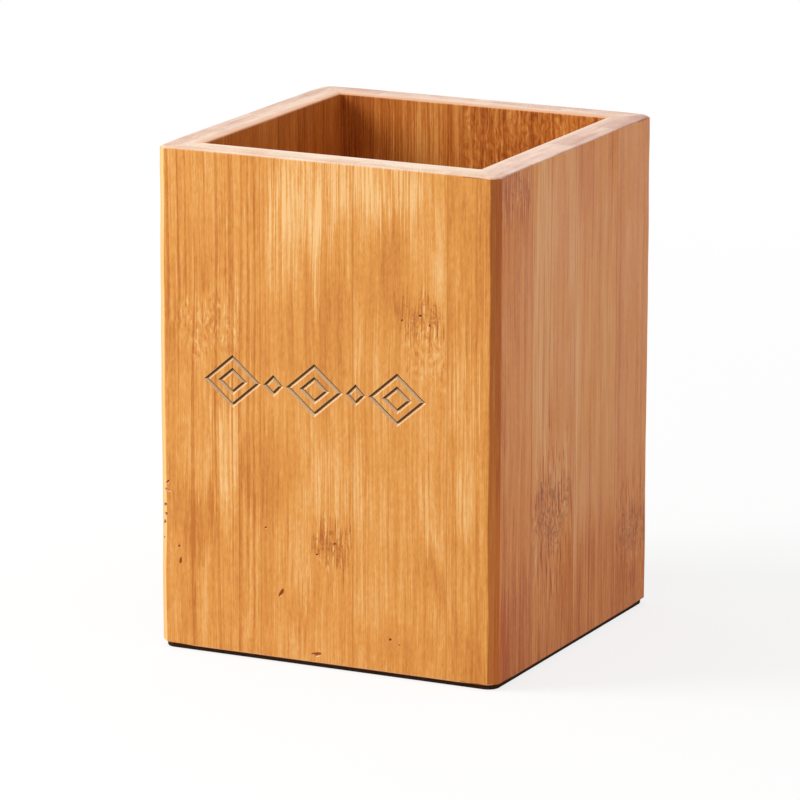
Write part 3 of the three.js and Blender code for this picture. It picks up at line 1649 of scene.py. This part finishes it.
@dataclass(frozen=True)
class Camera:
    """The camera at the photograph's viewing angle.

    Right and up move it sideways from the line to its aim, and clip is in metres.
    """

    azimuth: float = 25.865
    elevation: float = 13.489
    roll: float = 0.107
    distance: float = 1246.67
    aim_height: float = 55.5
    right: float = -1.636
    up: float = -5.001
    lens: float = 258.607
    sensor: float = 36.0
    clip: Span = (0.05, 20.0)

    def build(self) -> None:
        """Sets up the scene's camera."""
        back, roll = direction(self.azimuth, self.elevation), math.radians(self.roll)
        level = Vector((0.0, 0.0, 1.0)).cross(back).normalized()
        upright = back.cross(level)
        right = level * math.cos(roll) + upright * math.sin(roll)
        up = upright * math.cos(roll) - level * math.sin(roll)
        data = bpy.data.cameras.new("photo_camera")
        data.lens = self.lens
        data.sensor_width = self.sensor
        data.clip_start, data.clip_end = self.clip
        aim = Vector((0.0, 0.0, self.aim_height))
        place = aim + back * self.distance + right * self.right + up * self.up
        turned = Matrix((right, up, back)).transposed().to_4x4()
        camera = add_object("photo_camera", data)
        camera.matrix_world = Matrix.Translation(place * MM) @ turned
        bpy.context.scene.camera = camera


@dataclass(frozen=True)
class Fade:
    """How much of the floor's paper shows, from its middle to its white, in metres."""

    share: float
    near: float
    far: float

    def over(self, distance: Field) -> Field:
        """Gives the share of paper at a distance from the holder."""
        return distance.graph.smooth(distance, (self.near, self.far), (self.share, 0.0))


@dataclass(frozen=True)
class Studio:
    """A pale floor, a white surround and soft lamps.

    Sky is the surround's strength as a light. Seen and mirrored say how the floor's paper, with the
    holder's shadow on it, gives way to plain white, straight from the camera and in reflections.
    """

    sky: float = 0.62
    floor_grey: float = 0.62
    floor_half: float = 4.0
    seen: Fade = Fade(share=0.22, near=0.16, far=0.5)
    mirrored: Fade = Fade(share=0.62, near=0.12, far=0.34)
    lamps: tuple[Lamp, ...] = (
        Lamp("key", azimuth=-60.0, elevation=30.0, distance=1.2, size=0.55, power=11.5),
    )

    @staticmethod
    def looks(graph: Graph) -> tuple[Field, Field]:
        """Tells the kinds of rays apart.

        Args:
            graph: The graph of the floor or the surround.

        Returns:
            1 on the rays that show the background straight, and 1 on those that mirror it.
        """
        path = graph.node("ShaderNodeLightPath", output="Is Camera Ray")
        settings = {"operation": "ADD", "use_clamp": True}
        both = {0: path, 1: path.output("Is Transmission Ray")}
        return graph.node("ShaderNodeMath", settings, both), path.output("Is Glossy Ray")

    def surround(self) -> None:
        """Makes the world white where it is seen and dimmer as a light."""
        world = bpy.data.worlds.new("surround")
        world.use_nodes = True
        bpy.context.scene.world = world
        graph = Graph(world.node_tree)
        straight, mirrored = self.looks(graph)
        strength = self.sky + (1 - self.sky) * (straight + mirrored)
        light = graph.node("ShaderNodeBackground", None, {"Color": WHITE, "Strength": strength})
        graph.finish(light, "ShaderNodeOutputWorld")

    def floor(self) -> None:
        """Lays the floor, which shows the holder's shadow and is white further out."""
        half = self.floor_half / MM
        rim = [(-half, -half, 0.0), (half, -half, 0.0), (half, half, 0.0), (-half, half, 0.0)]
        piece = mesh_object("floor", rim, [(0, 1, 2, 3)])
        made, graph = new_material("floor_paper")
        distance = graph.length(graph.node("ShaderNodeTexCoord", output="Object"))
        straight, mirrored = self.looks(graph)
        paper_share = straight * self.seen.over(distance) + mirrored * self.mirrored.over(distance)
        grey = (self.floor_grey, self.floor_grey, self.floor_grey, 1.0)
        colour = graph.mix(straight, grey, WHITE)
        paper = graph.node("ShaderNodeBsdfDiffuse", None, {"Color": colour})
        glow = graph.node("ShaderNodeEmission", None, {"Color": WHITE, "Strength": 1.0})
        factor = straight + mirrored - paper_share
        graph.finish(graph.node("ShaderNodeMixShader", None, {0: factor, 1: paper, 2: glow}))
        piece.data.materials.append(made)

    def build(self) -> None:
        """Sets up the floor, the surround and the lamps."""
        bpy.context.scene.view_settings.view_transform = "Standard"
        self.surround()
        self.floor()
        for lamp in self.lamps:
            lamp.build()


# The pen holder

HONEY = Palette(
    deep=srgb(200, 118, 44),
    body=srgb(235, 160, 75),
    pale=srgb(255, 205, 138),
    knot=srgb(172, 92, 38),
    foot_light_and_shade=srgb(255, 226, 176),
    end_light=srgb(255, 232, 206),
    end_dark=srgb(222, 168, 134),
    end_inner=srgb(255, 236, 216),
)
# This palette of the right wall is redder than the front's, partly its own tone and partly the redder
# look of its shaded side painted in.
RUSSET = Palette(
    deep=srgb(198, 90, 20),
    body=srgb(240, 150, 73),
    pale=srgb(255, 187, 123),
    knot=srgb(156, 80, 44),
    foot_light_and_shade=srgb(170, 84, 30),
    end_light=srgb(252, 220, 200),
    end_dark=srgb(204, 154, 134),
    end_inner=srgb(255, 228, 202),
)
# This palette of the back and left walls and the base board is darker, partly their own tone and partly
# painted shade for the inside of the box.
AMBER = Palette(
    deep=srgb(146, 68, 18),
    body=srgb(200, 120, 46),
    pale=srgb(236, 172, 92),
    knot=srgb(116, 52, 20),
    foot_light_and_shade=srgb(236, 172, 92),
    end_light=srgb(252, 222, 200),
    end_dark=srgb(204, 156, 130),
    end_inner=srgb(230, 160, 96),
)
# Painted shade on the near corner's chamfer, turned from the key lamp, and a painted highlight on the
# far corner's chamfer, which faces it.
NEAR_CORNER_SHADE = PaintedCornerLight(srgb(180, 84, 20), srgb(202, 106, 32), towards_right=1.0)
FAR_CORNER_HIGHLIGHT = PaintedCornerLight(srgb(254, 200, 124), srgb(254, 200, 124), towards_right=-1.0)

# Each wall's slats run from left to right, seen from outside, and so do their seeds.

FRONT = (
    SlatFinish(
        HONEY, 1.0, 0.48, streaks=0.75, cords=1.0, ripples=0.35, flame=0.75, corner=FAR_CORNER_HIGHLIGHT,
        patches=(
            Patch(17.5, 34.0, 3.6, 7.0, 0.12),
            Patch(5.0, 46.0, 3.0, 5.0, -0.07),
            Patch(14.0, 58.0, 2.2, 5.0, 0.22),
            Patch(17.3, 63.5, 3.6, 12.0, 0.17),
            Patch(9.0, 81.0, 6.5, 8.0, -0.26),
            Patch(22.5, 68.0, 3.0, 12.0, -0.2),
            Patch(5.5, 96.0, 4.0, 12.0, -0.1),
        ),
        cane_nodes=(CaneNode(12.0, 38.0, 9.5, 5.4, 0.12, 1.1),),
    ),
    SlatFinish(
        HONEY, 2.0, 0.48, streaks=0.85, ripples=0.35, flame=0.85,
        patches=(
            Patch(36.5, 6.0, 12.0, 12.0, 0.3),
            Patch(30.5, 18.0, 6.0, 15.0, 0.2),
            Patch(39.0, 19.0, 2.8, 14.0, 0.28),
            Patch(38.5, 34.0, 13.0, 13.0, -0.14),
            Patch(27.7, 69.5, 5.0, 12.0, -0.2),
            Patch(33.5, 66.0, 2.5, 7.0, -0.12),
            Patch(41.0, 70.0, 5.0, 11.0, 0.14),
            Patch(34.0, 98.0, 3.0, 6.0, -0.22),
            Patch(42.4, 83.4, 5.2, 4.6, -0.14),
        ),
        cane_nodes=(CaneNode(41.6, 83.4, 5.6, 4.0, 0.64, fan_tall=1.5),),
    ),
    SlatFinish(
        HONEY, 3.0, 0.52, streaks=0.85, ripples=0.35, flame=0.75,
        patches=(
            Patch(54.5, 4.0, 11.0, 8.0, 0.3),
            Patch(66.3, 20.0, 1.6, 12.0, 0.08),
            Patch(54.5, 23.0, 9.0, 10.0, -0.14),
            Patch(64.8, 73.0, 3.5, 6.0, 0.1),
            Patch(65.5, 80.0, 2.2, 3.5, 0.2),
            Patch(65.0, 85.2, 5.0, 7.0, -0.16),
            Patch(47.0, 68.0, 4.0, 12.0, 0.14),
            Patch(57.0, 104.0, 12.0, 7.0, -0.14),
            Patch(54.0, 9.0, 2.0, 9.0, 0.16),
            Patch(62.4, 31.6, 6.0, 4.2, -0.14),
        ),
        cane_nodes=(
            CaneNode(62.3, 31.7, 6.5, 3.8, 0.52, fan_tall=1.5),
            CaneNode(63.6, 39.6, 6.0, 6.0, 0.05, 1.0),
        ),
    ),
    SlatFinish(
        HONEY, 4.0, 0.42, ripples=0.3, corner=NEAR_CORNER_SHADE,
        patches=(
            Patch(70.5, 12.0, 3.2, 15.0, -0.2),
            Patch(71.0, 72.0, 3.0, 8.0, 0.14),
            Patch(72.5, 45.0, 6.0, 14.0, 0.1),
            Patch(73.0, 103.0, 6.0, 8.0, -0.07),
        ),
    ),
)
# Painted shade darkens the foot of the right wall across three slats.
RIGHT_FOOT_SHADE = Patch(40.0, 106.0, 70.0, 24.0, -0.3)
RIGHT = (
    SlatFinish(
        RUSSET, 5.0, 0.44, streaks=1.0, flame=0.7, curl_width=0.12, corner=NEAR_CORNER_SHADE,
        patches=(RIGHT_FOOT_SHADE,),
        cane_nodes=(CaneNode(8.5, 3.8, 9.0, 2.8, 0.6),),
    ),
    SlatFinish(
        RUSSET, 6.0, 0.64, streaks=0.95, cords=0.7, flame=0.6, curl_width=0.12,
        patches=(RIGHT_FOOT_SHADE, Patch(22.5, 34.0, 6.5, 36.0, 0.34)),
        cane_nodes=(CaneNode(28.0, 77.0, 11.0, 8.0, 0.6, 1.1),),
    ),
    SlatFinish(
        RUSSET, 7.0, 0.61, streaks=0.9, cords=0.7, flame=0.6, end_shade=0.36,
        patches=(
            RIGHT_FOOT_SHADE, Patch(40.2, 50.0, 1.6, 60.0, 0.4), Patch(48.0, 2.0, 16.0, 14.0, -0.14),
            Patch(48.0, 46.0, 16.0, 22.0, 0.1),
        ),
    ),
    SlatFinish(
        RUSSET, 8.0, 0.55, streaks=0.8, flame=0.6, end_shade=0.58, curl_width=0.12,
        patches=(Patch(70.0, 110.0, 24.0, 16.0, -0.2),),
        cane_nodes=(CaneNode(70.5, 91.5, 10.5, 5.5, 0.4, 0.9),),
    ),
)
BACK = (
    SlatFinish(
        AMBER, 9.0, 0.56, streaks=0.6, dashes=1.4, ripples=1.1,
        cane_nodes=(CaneNode(12.0, 20.0, 14.0, 26.0, 0.16),),
    ),
    SlatFinish(
        AMBER, 10.0, 0.48, streaks=0.7, dashes=1.4, ripples=1.0, flame=1.3,
        cane_nodes=(CaneNode(27.0, 22.0, 13.0, 26.0, 0.16),),
    ),
    SlatFinish(AMBER, 11.0, 0.56, streaks=1.2, cane_nodes=(CaneNode(53.0, 58.0, 10.0, 5.0, 0.5),)),
    # The fourth slat's low tone is painted shade, for the left wall's shadow in the inner corner of the
    # box.
    SlatFinish(AMBER, 12.0, 0.16, cane_nodes=(CaneNode(72.0, 84.0, 8.0, 4.0, 0.5),)),
)
LEFT = (
    SlatFinish(AMBER, 13.0, 0.46, streaks=0.7),
    SlatFinish(AMBER, 14.0, 0.4, streaks=0.7, cane_nodes=(CaneNode(28.0, 60.0, 11.0, 5.0),)),
    SlatFinish(AMBER, 15.0, 0.46, streaks=0.7),
    SlatFinish(AMBER, 16.0, 0.48, streaks=0.8, corner=FAR_CORNER_HIGHLIGHT),
)
BOARD = (SlatFinish(AMBER, 17.0), SlatFinish(AMBER, 18.0, 0.42), SlatFinish(AMBER, 19.0, 0.55))

# Pits round the two cane joints, then nicks lower down, then those up the left edge.
PITS = (
    Pit(62.3, 30.7, 0.9, 0.8, 0.35),
    Pit(58.0, 32.1, 0.6, 0.6, 0.22),
    Pit(64.4, 32.6, 0.5, 0.6, 0.22),
    Pit(42.3, 82.2, 0.9, 0.8, 0.3),
    Pit(38.1, 85.0, 0.6, 0.6, 0.22),
    Pit(25.9, 80.5, 0.6, 0.6, 0.22),
    Pit(29.6, 94.4, 0.9, 2.1, 0.32, 28.0),
    Pit(38.0, 107.0, 2.6, 0.9, 0.3, -8.0),
    Pit(55.4, 101.6, 0.7, 0.8, 0.25),
    Pit(57.6, 102.5, 0.4, 0.4, 0.3),
    Pit(5.0, 87.0, 0.6, 0.7, 0.22),
    Pit(5.3, 90.2, 0.7, 1.6, 0.25, 10.0),
    Pit(2.3, 73.0, 1.3, 0.7, 0.4, -35.0),
    Pit(1.9, 74.8, 2.6, 0.7, 0.7, 14.0),
    Pit(1.2, 78.4, 1.8, 1.3, 1.4, -15.0),
    Pit(1.6, 80.2, 1.6, 0.9, 1.0, 20.0),
    Pit(1.1, 82.2, 1.4, 1.7, 1.4, 12.0),
    Pit(0.9, 85.7, 0.9, 0.6, 1.7),
)


def main() -> None:
    """Builds the camera, the studio and the pen holder, piece by piece."""
    logging.basicConfig(level=logging.INFO, format="%(name)s: %(message)s")
    Camera().build()
    Studio().build()
    shape = WallShape.from_solids()
    cutters = (LozengeBand(shape).cutter(), Pits(shape, PITS).cutter())
    for side, finishes in zip(Side, (FRONT, RIGHT, BACK, LEFT)):
        near = cutters if side in (Side.FRONT, Side.LEFT) else ()
        Wall(side, shape, finishes, near).build()
    for cutter in cutters:
        bpy.data.objects.remove(cutter)
    BaseBoard(shape, BOARD).build()
    FootPad().build()


if __name__ == "__main__":
    main()
